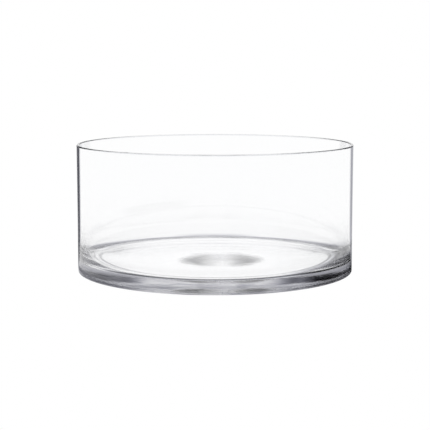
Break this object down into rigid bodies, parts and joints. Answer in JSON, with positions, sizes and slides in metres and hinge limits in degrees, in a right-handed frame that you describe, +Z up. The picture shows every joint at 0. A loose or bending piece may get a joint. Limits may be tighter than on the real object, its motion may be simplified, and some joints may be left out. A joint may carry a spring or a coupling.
{
  "type": "crystallizing dish",
  "caption": "Straight-sided clear glass crystallizing dish with a thin rounded rim, a heavy flat base and a wide open top.",
  "frame": {"origin": "centre of the dish on the plane that its foot ring rests on", "axes": "+Z up along the dish's axis of revolution; the dish is round, so X and Y are free"},
  "size_m": [0.25, 0.25, 0.115],
  "materials": {
    "clear_glass": "clear, fire-polished, with a faint blue-grey tint in the thick base"
  },
  "bodies": {
    "root": {"glass_dish": "clear_glass"}
  },
  "joints": []
}
